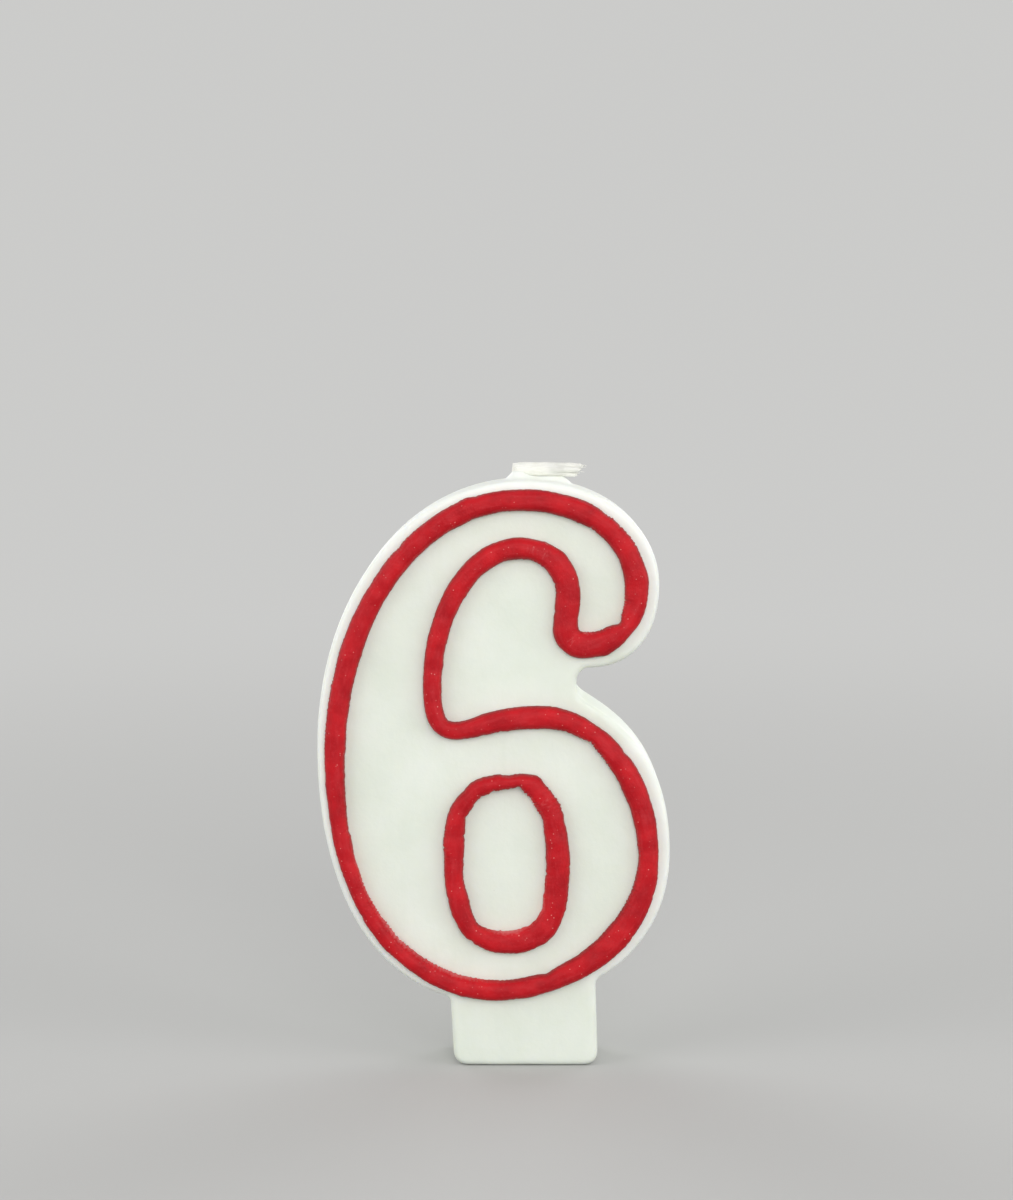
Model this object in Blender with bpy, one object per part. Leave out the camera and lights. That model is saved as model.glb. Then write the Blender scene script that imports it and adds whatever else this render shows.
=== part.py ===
"""Number candle: a white wax 6 on a flat foot, drawn round with beads of red wax, with a cotton wick.

Metres, +Z up, the front faces -Y. The origin is the centre of the foot's underside.
The figure is laid out on the red line, the centreline of the beads as seen from the front:
strokes are measured from line to line, and the wax body stands out beyond the line all round.
"""

import collections
import math

import bmesh
import bpy
import numpy as np

# Strokes and spaces across the figure, line to line
SPINE_STROKE = 0.0120
MOUTH_WIDTH = 0.0164
HOOK_STROKE = 0.0087
BOWL_BULGE = 0.0015
CHEEK_STROKE = 0.0145
BOWL_STROKE = 0.0111

# Strokes and spaces up the figure, line to line
BOWL_HEIGHT = 0.0341
MOUTH_GAP = 0.0089
HOOK_HEIGHT = 0.0178
CROWN_STROKE = 0.0060
LINTEL_STROKE = 0.0079
SOLE_STROKE = 0.0060
CROOK_DIP = 0.0016

# Where the line turns: sideways reach of its highest and lowest points
CROWN_REACH = 0.0236
SOLE_REACH = 0.0200
MOUTH_PEAK_REACH = 0.0106
CROOK_REACH = 0.0032
BOWL_PEAK_REACH = 0.0133
HOOK_TIP_REACH = 0.0029

# Where the line turns: height of its widest points
SPINE_BELLY = 0.0300
BOWL_BELLY = 0.0170
HOOK_BELLY = 0.0071
HOOK_TIP_RISE = 0.0027
HOOK_INNER_RISE = 0.0066
MOUTH_BELLY = 0.0046

# Wax body: its thickness, its edges, and the rim of white left outside the bead on each side
THICKNESS = 0.0100
FRONT_EDGE_RADIUS = 0.0010
BACK_EDGE_RADIUS = 0.0006
SPINE_RIM = 0.0008
CROWN_RIM = 0.0009
HOOK_RIM = 0.0015
HOOK_LOW_RIM = 0.0016
BOWL_RIM = 0.0015
SOLE_RIM = 0.0006
NOTCH_RADIUS = 0.0016
NOTCH_LIP = 0.0033
NOTCH_SETBACK = 0.0015

# Foot that goes into the cake
FOOT_WIDTH = 0.0179
FOOT_HEIGHT = 0.0079
FOOT_REACH = 0.0236
FOOT_CORNER = 0.0004
FOOT_FILLET = 0.0008

# Red wax beads
BEAD_WIDTH = 0.0026
BEAD_HEIGHT = 0.0012
BEAD_SIDE = 0.0002
SEAT_GAP = 0.0003

# Wick
WICK_DIAMETER = 0.0018
WICK_CLEARANCE = 0.0003
WICK_SETBACK = 0.0009
WICK_INNER_BEND = 0.0004
WICK_TAIL = 0.0063
WICK_FOOT_MARGIN = 0.0060

# How full a quarter turn of the line is: 0.55 makes a quarter of an ellipse
ROUND = 0.55
PLUMP = 0.60
FULL = 0.70
BULGING = 0.75
EASY = 0.30

# Fineness of the mesh
LEG_STEPS = 14
NOTCH_STEPS = 6
CORNER_STEPS = 5
FILLET_STEPS = 3
FRONT_EDGE_STEPS = 4
BACK_EDGE_STEPS = 2
BEAD_DOME_STEPS = 6
BEND_STEPS = 8

RIGHT = np.array((1.0, 0.0))
UP = np.array((0.0, 1.0))
LEFT = -RIGHT
DOWN = -UP

# The red line's own places, worked out from the sizes above
BEAD_EDGE = BEAD_WIDTH / 2
SPINE_X = -FOOT_REACH
MOUTH_X = SPINE_X + SPINE_STROKE
HOOK_INNER_X = MOUTH_X + MOUTH_WIDTH
HOOK_X = HOOK_INNER_X + HOOK_STROKE
BOWL_X = HOOK_X + BOWL_BULGE
CROWN_X = SPINE_X + CROWN_REACH
HOOK_LOW_X = HOOK_INNER_X + HOOK_TIP_REACH
SOLE_X = SPINE_X + SOLE_REACH
SOLE_Z = FOOT_HEIGHT + SOLE_RIM + BEAD_EDGE
BOWL_TOP_Z = SOLE_Z + BOWL_HEIGHT
HOOK_LOW_Z = BOWL_TOP_Z + MOUTH_GAP
CROWN_Z = HOOK_LOW_Z + HOOK_HEIGHT
BODY_TOP_Z = CROWN_Z + BEAD_EDGE + CROWN_RIM
FRONT_Y = -THICKNESS / 2


def clear_scene():
    for old in list(bpy.data.objects):
        bpy.data.objects.remove(old)


def wax(name, colour, roughness):
    material = bpy.data.materials.new(name)
    material.use_nodes = True
    shader = material.node_tree.nodes["Principled BSDF"]
    shader.inputs["Base Color"].default_value = (*colour, 1.0)
    shader.inputs["Roughness"].default_value = roughness
    shader.inputs["Metallic"].default_value = 0.0
    return material


Knot = collections.namedtuple("Knot", "place heading pull_in pull_out")


def knot(x, z, heading, pull_in=ROUND, pull_out=ROUND):
    """A turning point of a curve, where it runs level or upright, and how full it is on either side."""
    return Knot(np.array((x, z)), heading, pull_in, pull_out)


def leg(start, end, steps=LEG_STEPS):
    """Points of the cubic curve from one knot up to the next, without the last point."""
    span = end.place - start.place
    first = start.place + start.heading * start.pull_out * abs(span @ start.heading)
    second = end.place - end.heading * end.pull_in * abs(span @ end.heading)
    t = np.linspace(0.0, 1.0, steps, endpoint=False)[:, None]
    return (
        (1 - t) ** 3 * start.place
        + 3 * (1 - t) ** 2 * t * first
        + 3 * (1 - t) * t**2 * second
        + t**3 * end.place
    )


def closed_curve(knots):
    return np.concatenate([leg(a, b) for a, b in zip(knots, knots[1:] + knots[:1])])


def figure_line():
    """The 6 in one closed line, clockwise from the crown: hook, mouth, crook, bowl and spine."""
    return closed_curve(
        [
            knot(CROWN_X, CROWN_Z, RIGHT),
            knot(HOOK_X, HOOK_LOW_Z + HOOK_BELLY, DOWN),
            knot(HOOK_LOW_X, HOOK_LOW_Z, LEFT, pull_in=FULL),
            knot(HOOK_INNER_X, HOOK_LOW_Z + HOOK_TIP_RISE, UP),
            knot(HOOK_INNER_X, HOOK_LOW_Z + HOOK_INNER_RISE, UP),
            knot(MOUTH_X + MOUTH_PEAK_REACH, CROWN_Z - CROWN_STROKE, LEFT, pull_in=FULL),
            knot(MOUTH_X, BOWL_TOP_Z + MOUTH_BELLY, DOWN),
            knot(MOUTH_X + CROOK_REACH, BOWL_TOP_Z - CROOK_DIP, RIGHT, pull_in=FULL, pull_out=EASY),
            knot(MOUTH_X + BOWL_PEAK_REACH, BOWL_TOP_Z, RIGHT),
            knot(BOWL_X, SOLE_Z + BOWL_BELLY, DOWN, pull_out=PLUMP),
            knot(SOLE_X, SOLE_Z, LEFT, pull_in=PLUMP, pull_out=FULL),
            knot(SPINE_X, SOLE_Z + SPINE_BELLY, UP),
        ]
    )


def counter_line():
    """The closed line round the eye of the 6, a full oval set in from the figure's line by the strokes."""
    left = SPINE_X + CHEEK_STROKE
    right = BOWL_X - BOWL_STROKE
    low = SOLE_Z + SOLE_STROKE
    high = BOWL_TOP_Z - LINTEL_STROKE
    middle_x = (left + right) / 2
    middle_z = (low + high) / 2
    return closed_curve(
        [
            knot(middle_x, high, RIGHT, FULL, FULL),
            knot(right, middle_z, DOWN, FULL, FULL),
            knot(middle_x, low, LEFT, FULL, FULL),
            knot(left, middle_z, UP, FULL, FULL),
        ]
    )


def soft_corner(start, corner, end):
    """A fillet from start to end that is pulled towards the corner, with both ends."""
    t = np.linspace(0.0, 1.0, FILLET_STEPS + 1)[:, None]
    return (1 - t) ** 2 * start + 2 * (1 - t) * t * corner + t**2 * end


def round_corner(centre, radius, first_angle):
    """A quarter circle, clockwise from first_angle, with both ends."""
    angles = first_angle - np.linspace(0.0, math.pi / 2, CORNER_STEPS + 1)
    return centre + radius * np.stack([np.cos(angles), np.sin(angles)], axis=1)


def sole_with_foot(sole_right, sole_left):
    """The bowl's underside from right to left, broken by the foot with its filleted roots and round corners."""
    half = FOOT_WIDTH / 2
    radius = FOOT_CORNER + FRONT_EDGE_RADIUS
    clear = half + 2 * FOOT_FILLET
    sole = np.concatenate([sole_right, sole_left])[::-1]

    def root(x, drop=0.0):
        return np.array((x, np.interp(x, sole[:, 0], sole[:, 1]) - drop))

    return np.concatenate(
        [
            sole_right[sole_right[:, 0] > clear],
            soft_corner(root(half + FOOT_FILLET), root(half), root(half, FOOT_FILLET)),
            round_corner(np.array((half - radius, radius)), radius, 0.0),
            round_corner(np.array((radius - half, radius)), radius, -math.pi / 2),
            soft_corner(root(-half, FOOT_FILLET), root(-half), root(-half - FOOT_FILLET)),
            sole_left[sole_left[:, 0] < -clear],
        ]
    )


def body_outline():
    """The wax body's widest outline, clockwise from the crown, with the notch and the foot."""
    hook_low_z = HOOK_LOW_Z - BEAD_EDGE - HOOK_LOW_RIM
    notch_z = hook_low_z - NOTCH_RADIUS
    bowl_z = SOLE_Z + BOWL_BELLY
    crown = knot(CROWN_X, BODY_TOP_Z, RIGHT, PLUMP, PLUMP)
    hook = knot(HOOK_X + BEAD_EDGE + HOOK_RIM, HOOK_LOW_Z + HOOK_BELLY, DOWN)
    hook_low = knot(HOOK_LOW_X, hook_low_z, LEFT, pull_in=FULL)
    lip_pull = NOTCH_LIP / (notch_z - bowl_z)
    notch = knot(HOOK_INNER_X + NOTCH_SETBACK, notch_z, DOWN, pull_out=lip_pull)
    bowl = knot(BOWL_X + BEAD_EDGE + BOWL_RIM, bowl_z, DOWN, pull_in=BULGING, pull_out=PLUMP)
    sole = knot(SOLE_X, FOOT_HEIGHT, LEFT, pull_in=PLUMP, pull_out=FULL)
    spine = knot(SPINE_X - BEAD_EDGE - SPINE_RIM, SOLE_Z + SPINE_BELLY, UP)
    return np.concatenate(
        [
            leg(crown, hook),
            leg(hook, hook_low),
            leg(hook_low, notch, NOTCH_STEPS),
            leg(notch, bowl),
            sole_with_foot(leg(bowl, sole), leg(sole, spine)),
            leg(spine, crown),
        ]
    )


def outward(points):
    """For each point of a clockwise outline, the step out that moves both its sides by one unit."""
    ahead = np.roll(points, -1, axis=0) - points
    ahead /= np.linalg.norm(ahead, axis=1, keepdims=True)
    side_after = np.stack([-ahead[:, 1], ahead[:, 0]], axis=1)
    side_before = np.roll(side_after, 1, axis=0)
    middle = side_after + side_before
    return middle / (1 + np.sum(side_after * side_before, axis=1, keepdims=True))


def sections_along(points, profile):
    """The profile, a list of (step out, y), set up at every point of a closed outline."""
    profile = np.array(profile)
    spots = points[:, None, :] + outward(points)[:, None, :] * profile[None, :, :1]
    depth = np.broadcast_to(profile[None, :, 1], spots.shape[:2])
    return np.stack([spots[..., 0], depth, spots[..., 1]], axis=-1)


def solid(name, sections, profile_closed, material, location=(0.0, 0.0, 0.0)):
    """A closed solid from sections that run round an outline, with flat caps where the profile is open."""
    mesh = bmesh.new()
    rows = [[mesh.verts.new(spot) for spot in section] for section in sections]
    width = len(rows[0])
    for row, following in zip(rows, rows[1:] + rows[:1]):
        for i in range(width if profile_closed else width - 1):
            j = (i + 1) % width
            mesh.faces.new((row[i], row[j], following[j], following[i]))
    if not profile_closed:
        mesh.faces.new([row[0] for row in rows])
        mesh.faces.new([row[-1] for row in rows])
    bmesh.ops.recalc_face_normals(mesh, faces=mesh.faces)
    data = bpy.data.meshes.new(name)
    mesh.to_mesh(data)
    mesh.free()
    data.shade_smooth()
    data.set_sharp_from_angle(angle=math.radians(40))
    data.materials.append(material)
    made = bpy.data.objects.new(name, data)
    made.location = location
    bpy.context.scene.collection.objects.link(made)
    return made


def edge_profile():
    """Back edge, side and front edge of the wax body, as (step out, y) from the back to the front."""
    back = np.linspace(0.0, math.pi / 2, BACK_EDGE_STEPS + 1)
    front = np.linspace(0.0, math.pi / 2, FRONT_EDGE_STEPS + 1)
    back_y = THICKNESS / 2
    return [
        (BACK_EDGE_RADIUS * (math.sin(a) - 1), back_y - BACK_EDGE_RADIUS * (1 - math.cos(a)))
        for a in back
    ] + [
        (FRONT_EDGE_RADIUS * (math.cos(a) - 1), FRONT_Y + FRONT_EDGE_RADIUS * (1 - math.sin(a)))
        for a in front
    ]


def bead_profile():
    """Flat underside, short upright sides and a domed crown, as (step out, y) with the underside at 0."""
    half = BEAD_WIDTH / 2
    dome = np.linspace(0.0, math.pi, BEAD_DOME_STEPS + 1)
    crown = BEAD_HEIGHT - BEAD_SIDE
    return [(half, 0.0)] + [
        (half * math.cos(a), -BEAD_SIDE - crown * math.sin(a)) for a in dome
    ] + [(-half, 0.0)]


def wick_bore(top_x, low_z):
    """Cutter for the wick's hole, from the crown down to just under the wick's end."""
    bore = bpy.data.meshes.new("wick_bore")
    shape = bmesh.new()
    depth = BODY_TOP_Z - low_z + 2 * WICK_DIAMETER
    radius = WICK_DIAMETER / 2 + WICK_CLEARANCE
    bmesh.ops.create_cone(
        shape, cap_ends=True, segments=16, radius1=radius, radius2=radius, depth=depth
    )
    shape.to_mesh(bore)
    shape.free()
    cutter = bpy.data.objects.new("wick_bore", bore)
    cutter.location = (top_x, 0.0, low_z + depth / 2)
    cutter.hide_render = True
    cutter.display_type = "WIRE"
    bpy.context.scene.collection.objects.link(cutter)
    return cutter


def bored(body, cutter):
    cut = body.modifiers.new("wick_bore", "BOOLEAN")
    cut.operation = "DIFFERENCE"
    cut.object = cutter


def wick_route():
    """Up the bore, a tight turn at the crown, then flat along the top: (x, z) from the wick's lower end."""
    radius = WICK_DIAMETER / 2
    turn = radius + WICK_INNER_BEND
    rise = BODY_TOP_Z + SEAT_GAP + radius - WICK_FOOT_MARGIN
    angles = np.linspace(math.pi, math.pi / 2, BEND_STEPS + 1)
    bend = [(turn + turn * math.cos(a), rise - turn + turn * math.sin(a)) for a in angles]
    return [(0.0, 0.0), *bend, (turn + WICK_TAIL, rise)]


def make_wick(name, material, location):
    route = bpy.data.curves.new(name, "CURVE")
    route.dimensions = "3D"
    route.bevel_depth = WICK_DIAMETER / 2
    route.bevel_resolution = 2
    route.use_fill_caps = True
    spots = wick_route()
    spline = route.splines.new("POLY")
    spline.points.add(len(spots) - 1)
    for point, (x, z) in zip(spline.points, spots):
        point.co = (x, 0.0, z, 1.0)
    route.materials.append(material)
    made = bpy.data.objects.new(name, route)
    made.location = location
    bpy.context.scene.collection.objects.link(made)
    return made


def main():
    clear_scene()
    white = wax("white_wax", (0.83, 0.86, 0.78), 0.42)
    red = wax("red_wax", (0.56, 0.018, 0.030), 0.36)
    cotton = wax("waxed_cotton", (0.86, 0.85, 0.78), 0.70)

    wick_x = CROWN_X - WICK_SETBACK
    body = solid("wax_body", sections_along(body_outline(), edge_profile()), False, white)
    bored(body, wick_bore(wick_x, WICK_FOOT_MARGIN - SEAT_GAP))

    seat = (0.0, FRONT_Y - SEAT_GAP, 0.0)
    profile = bead_profile()
    figure_bead = solid("figure_bead", sections_along(figure_line(), profile), True, red, seat)
    counter_bead = solid("counter_bead", sections_along(counter_line(), profile), True, red, seat)
    wick = make_wick("wick", cotton, (wick_x, 0.0, WICK_FOOT_MARGIN))

    candle = bpy.data.objects.new("candle", None)
    bpy.context.scene.collection.objects.link(candle)
    for piece in (body, figure_bead, counter_bead, wick):
        piece.parent = candle


main()
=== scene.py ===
import math

import bpy
import numpy as np
from mathutils.geometry import delaunay_2d_cdt
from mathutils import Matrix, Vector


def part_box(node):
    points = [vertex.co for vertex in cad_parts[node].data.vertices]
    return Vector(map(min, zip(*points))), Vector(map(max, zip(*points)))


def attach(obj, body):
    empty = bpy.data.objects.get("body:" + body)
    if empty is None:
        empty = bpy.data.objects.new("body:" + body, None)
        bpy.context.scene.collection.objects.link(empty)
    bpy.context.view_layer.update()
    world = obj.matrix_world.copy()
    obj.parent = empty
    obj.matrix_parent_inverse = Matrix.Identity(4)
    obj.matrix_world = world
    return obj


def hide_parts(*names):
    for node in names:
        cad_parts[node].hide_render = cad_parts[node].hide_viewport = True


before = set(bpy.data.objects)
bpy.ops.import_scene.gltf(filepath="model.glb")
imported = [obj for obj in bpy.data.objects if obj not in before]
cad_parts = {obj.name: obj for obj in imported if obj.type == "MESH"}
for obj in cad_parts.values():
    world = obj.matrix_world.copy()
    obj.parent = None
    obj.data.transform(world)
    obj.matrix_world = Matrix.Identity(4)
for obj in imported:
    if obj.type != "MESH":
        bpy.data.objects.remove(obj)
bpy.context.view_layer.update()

bodyLow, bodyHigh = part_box("wax_body")
beadLow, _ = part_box("figure_bead")
wickLow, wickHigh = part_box("wick")

mm = 0.001  # shapes are worked out in millimetres, and the meshes hold metres
frontFace = bodyLow.y / mm
backFace = bodyHigh.y / mm
beadCrest = (bodyLow.y - beadLow.y) / mm
wickTop = wickHigh.z / mm
wickRadius = (wickHigh.y - wickLow.y) / mm / 2
wickAxis = wickLow.x / mm + wickRadius
print("frame loaded, front face at", round(frontFace, 2), "mm")


# Curves, edges and surfaces that the pieces share

legSteps = 80  # points on each leg of an outline or a piped line
swellSpread = (0.7, 1.6)  # shortest and longest wave of a swell, in spans
nickSpread = (0.5, 1.6)  # shortest and longest nick, in reaches
right, left, up, down = np.array(((1, 0), (-1, 0), (0, 1), (0, -1)), float)
downhill = np.array((0.83, -0.56)) / math.hypot(0.83, 0.56)  # the slope under the notch


def curveLoop(knots):
    # a knot is x, z, its heading and its pulls before and after; each leg is a cubic curve that leaves a knot
    # along its heading and reaches the next along that one's, with handles as long as the knot's pull times
    # the leg's run in that direction
    place = np.array([knot[:2] for knot in knots], float)
    heading = np.array([knot[2] for knot in knots])
    pullIn, pullOut = np.array([knot[3:] for knot in knots]).T[:, :, None]
    span = np.roll(place, -1, axis=0) - place
    nextHeading = np.roll(heading, -1, axis=0)
    runOut = np.abs(np.sum(span * heading, axis=1, keepdims=True))
    runIn = np.abs(np.sum(span * nextHeading, axis=1, keepdims=True))
    first = place + heading * pullOut * runOut
    second = place + span - nextHeading * np.roll(pullIn, -1, axis=0) * runIn
    t = np.linspace(0, 1, legSteps, endpoint=False)[:, None]
    corners = np.stack([place, first, second, place + span])
    weights = np.stack([(1 - t) ** 3, 3 * (1 - t) ** 2 * t, 3 * (1 - t) * t**2, t**3])
    return np.einsum("ksq,knd->nsd", weights, corners).reshape(-1, 2)


def evenSteps(loop, count):
    # a closed loop walked in steps of one length
    closed = np.vstack([loop, loop[:1]])
    way = np.concatenate([[0], np.cumsum(np.linalg.norm(np.diff(closed, axis=0), axis=1))])
    stops = np.linspace(0, way[-1], count, endpoint=False)
    return np.stack([np.interp(stops, way, closed[:, i]) for i in (0, 1)], axis=1), way[-1]


def outward(loop):
    # the unit step to the left of a clockwise loop, square to it
    along = np.roll(loop, -1, axis=0) - np.roll(loop, 1, axis=0)
    along /= np.linalg.norm(along, axis=1, keepdims=True)
    return np.stack([-along[:, 1], along[:, 0]], axis=1)


def easeIn(value, low, high):
    # from 0 at low to 1 at high, level at both ends
    t = np.clip((value - low) / (high - low), 0, 1)
    return t * t * (3 - 2 * t)


def wander(share, fewest, most, seed):
    # sines with a whole number of waves round a loop, in chance phases: about -1 to 1, closing on itself
    chance = np.random.default_rng(seed)
    waves = np.arange(fewest, most)
    phase = chance.uniform(0, 2 * np.pi, waves.size)
    weight = chance.normal(size=waves.size)
    total = np.sin(2 * np.pi * share[:, None] * waves + phase) @ weight
    return total / np.sqrt(2 * np.sum(weight**2))


def swell(points, span, seed, waves=14):
    # plane waves about one span long in chance directions, added up: about -1 to 1
    chance = np.random.default_rng(seed)
    way = chance.normal(size=(waves, points.shape[-1]))
    way /= np.linalg.norm(way, axis=1, keepdims=True)
    way *= 2 * np.pi / (span * chance.uniform(*swellSpread, (waves, 1)))
    phase = chance.uniform(0, 2 * np.pi, waves)
    return np.sin(points @ way.T + phase).sum(axis=-1) / math.sqrt(2 * waves)


def swells(points, layers):
    # several swells added up, each given as its size, span and seed
    return sum(size * swell(points, span, seed) for size, span, seed in layers)


def aroundGap(share, spot):
    # how far a share of the loop lies from a spot on it, the short way round
    return (share - spot + 0.5) % 1 - 0.5


def nicks(share, length, count, size, reach, seed):
    # small bumps and bites strewn round a loop: a bell curve at each chance spot
    chance = np.random.default_rng(seed)
    spots = chance.uniform(0, 1, count)
    sizes = size * chance.normal(size=count)
    reaches = reach * chance.uniform(*nickSpread, count)
    gap = aroundGap(share[:, None], spots) * length
    return np.exp(-((gap / reaches) ** 2)) @ sizes


def throughMarks(share, marks, soften):
    # straight runs between (share, value) marks round a loop, blurred so that the corners go
    places, values = np.array(marks).T
    plain = np.interp(share, places, values, period=1.0)
    waves = np.fft.rfftfreq(share.size, 1 / share.size)
    return np.fft.irfft(np.fft.rfft(plain) * np.exp(-((waves * soften) ** 2)), share.size)


def gridFaces(rows, columns, closedRows, closedColumns, first=0):
    # quads of a grid whose points are numbered row by row
    i = np.arange(rows if closedRows else rows - 1)[:, None]
    j = np.arange(columns if closedColumns else columns - 1)[None, :]
    iNext, jNext = (i + 1) % rows, (j + 1) % columns
    corners = (i * columns + j, i * columns + jNext, iNext * columns + jNext, iNext * columns + j)
    return first + np.stack(np.broadcast_arrays(*corners), axis=-1).reshape(-1, 4)


def makePiece(name, points, faces, material, node, marks):
    # points are millimetres, faces are arrays of quads or triangles, and marks hold a number or a vector for
    # each point
    mesh = bpy.data.meshes.new(name)
    counts = np.concatenate([np.full(len(group), group.shape[1]) for group in faces])
    corners = np.concatenate([group.ravel() for group in faces])
    mesh.vertices.add(len(points))
    mesh.loops.add(corners.size)
    mesh.polygons.add(counts.size)
    mesh.vertices.foreach_set("co", (points * mm).astype(np.float32).ravel())
    mesh.loops.foreach_set("vertex_index", corners.astype(np.int32))
    starts = np.concatenate([[0], np.cumsum(counts)[:-1]])
    mesh.polygons.foreach_set("loop_start", starts.astype(np.int32))
    mesh.update(calc_edges=True)
    for label, values in marks.items():
        kind, field = ("FLOAT_VECTOR", "vector") if values.ndim == 2 else ("FLOAT", "value")
        layer = mesh.attributes.new(label, kind, "POINT")
        layer.data.foreach_set(field, values.astype(np.float32).ravel())
    mesh.validate()
    mesh.shade_smooth()
    mesh.materials.append(material)
    piece = bpy.data.objects.new(name, mesh)
    bpy.context.scene.collection.objects.link(piece)
    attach(piece, "root")
    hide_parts(node)
    print(name, "made:", len(points), "points,", counts.size, "faces")


# Shader effects that more than one wax or the cotton uses

noiseMiddle = (0.3, 0.7)  # most of a noise lies between these
waxIor = 1.44


def addNode(tree, kind, inputs=None, **settings):
    made = tree.nodes.new("ShaderNode" + kind)
    for name, value in settings.items():
        setattr(made, name, value)
    for name, value in (inputs or {}).items():
        socket = made.inputs[name]
        if isinstance(value, bpy.types.NodeSocket):
            tree.links.new(value, socket)
        else:
            socket.default_value = value
    return made


def newGroup(name, numbers, outputs):
    tree = bpy.data.node_groups.new(name, "ShaderNodeTree")
    tree.interface.new_socket("Vector", in_out="INPUT", socket_type="NodeSocketVector")
    for label in numbers:
        tree.interface.new_socket(label, in_out="INPUT", socket_type="NodeSocketFloat")
    for label in outputs:
        tree.interface.new_socket(label, in_out="OUTPUT", socket_type="NodeSocketFloat")
    return tree, tree.nodes.new("NodeGroupInput").outputs, tree.nodes.new("NodeGroupOutput").inputs


def makeWaxCloud():
    # broad clouds and fine grain, each from 0 to 1, and a height that is one part grain to two of cloud
    tree, given, result = newGroup("waxCloud", ("Broad Scale", "Fine Scale"), ("Cloud", "Grain", "Height"))
    broad = addNode(tree, "TexNoise", {
        "Vector": given["Vector"], "Scale": given["Broad Scale"], "Detail": 3.0, "Roughness": 0.55})
    fine = addNode(tree, "TexNoise", {
        "Vector": given["Vector"], "Scale": given["Fine Scale"], "Detail": 4.0, "Roughness": 0.6})
    cloud, grain = broad.outputs["Fac"], fine.outputs["Fac"]
    height = addNode(tree, "Math", {0: cloud, 1: 2.0, 2: grain}, operation="MULTIPLY_ADD")
    tree.links.new(cloud, result["Cloud"])
    tree.links.new(grain, result["Grain"])
    tree.links.new(height.outputs[0], result["Height"])
    return tree


def makeDrawnStreaks():
    # noise scaled by one number across the third axis and by another along it, which draws it out into
    # streaks the way of the smaller number
    numbers = ("Across", "Along", "Scale", "Detail", "Roughness")
    tree, given, result = newGroup("drawnStreaks", numbers, ("Streak",))
    squeeze = addNode(tree, "CombineXYZ", {"X": given["Across"], "Y": given["Across"], "Z": given["Along"]})
    drawn = addNode(tree, "VectorMath", {0: given["Vector"], 1: squeeze.outputs[0]}, operation="MULTIPLY")
    noise = addNode(tree, "TexNoise", {
        "Vector": drawn.outputs[0], "Scale": given["Scale"], "Detail": given["Detail"],
        "Roughness": given["Roughness"]})
    tree.links.new(noise.outputs["Fac"], result["Streak"])
    return tree


def makePinSpecks():
    # one small round speck in some of the cells of a cell pattern, as a mask from 0 to 1
    tree, given, result = newGroup("pinSpecks", ("Scale", "Size", "Share"), ("Mask",))
    cells = addNode(tree, "TexVoronoi", {"Vector": given["Vector"], "Scale": given["Scale"]})
    parts = addNode(tree, "SeparateColor", {"Color": cells.outputs["Color"]})
    chosen = addNode(tree, "Math", {0: parts.outputs[0], 1: given["Share"]}, operation="LESS_THAN")
    reach = addNode(tree, "Math", {0: given["Size"], 1: parts.outputs[1]}, operation="MULTIPLY")
    near = addNode(tree, "MapRange", {
        "Value": cells.outputs["Distance"], "From Min": 0.0, "From Max": reach.outputs[0],
        "To Min": 1.0, "To Max": 0.0}, interpolation_type="SMOOTHSTEP")
    both = addNode(tree, "Math", {0: chosen.outputs[0], 1: near.outputs[0]}, operation="MULTIPLY")
    tree.links.new(both.outputs[0], result["Mask"])
    return tree


def newMaterial(name):
    material = bpy.data.materials.new(name)
    material.use_nodes = True
    tree = material.node_tree
    return material, tree, tree.nodes["Principled BSDF"].inputs


def placeGroup(tree, group, vector, numbers):
    placed = addNode(tree, "Group", node_tree=group)
    tree.links.new(vector, placed.inputs["Vector"])
    for label, value in numbers.items():
        placed.inputs[label].default_value = value
    return placed.outputs


def stretched(tree, value, span, result=(0.0, 1.0)):
    # a span of a value laid straight over the result's two ends, and held at them outside it
    changed = addNode(tree, "MapRange", {
        "Value": value, "From Min": span[0], "From Max": span[1], "To Min": result[0], "To Max": result[1]})
    return changed.outputs[0]


def blendColours(tree, factor, first, second):
    mixed = addNode(tree, "Mix", {0: factor}, data_type="RGBA")
    for socket, value in ((mixed.inputs[6], first), (mixed.inputs[7], second)):
        if isinstance(value, bpy.types.NodeSocket):
            tree.links.new(value, socket)
        else:
            socket.default_value = (*value, 1.0)
    return mixed.outputs[2]


def layered(tree, colour, layers):
    # paints laid over a colour in turn, each where its mask shows
    for mask, paint in layers:
        colour = blendColours(tree, mask, colour, paint)
    return colour


def finishSurface(tree, shader, look, colour, grain, height):
    # the grain sets the roughness and the height the bump, and light scatters a little way under the surface
    bump = addNode(tree, "Bump", {
        "Height": height, "Distance": look["bumpDepth"], "Strength": look["bumpStrength"]})
    tree.links.new(colour, shader["Base Color"])
    tree.links.new(stretched(tree, grain, noiseMiddle, look["roughness"]), shader["Roughness"])
    tree.links.new(bump.outputs[0], shader["Normal"])
    shader["Subsurface Weight"].default_value = look["scatter"]
    shader["Subsurface Radius"].default_value = look["scatterTint"]
    shader["Subsurface Scale"].default_value = look["scatterDepth"]


waxCloud = makeWaxCloud()
drawnStreaks = makeDrawnStreaks()
pinSpecks = makePinSpecks()
print("shader effects made")


# White wax: milky, a little green, with soft clouds, faint mould streaks, a few specks and a painted
# highlight whitening the rim

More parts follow.
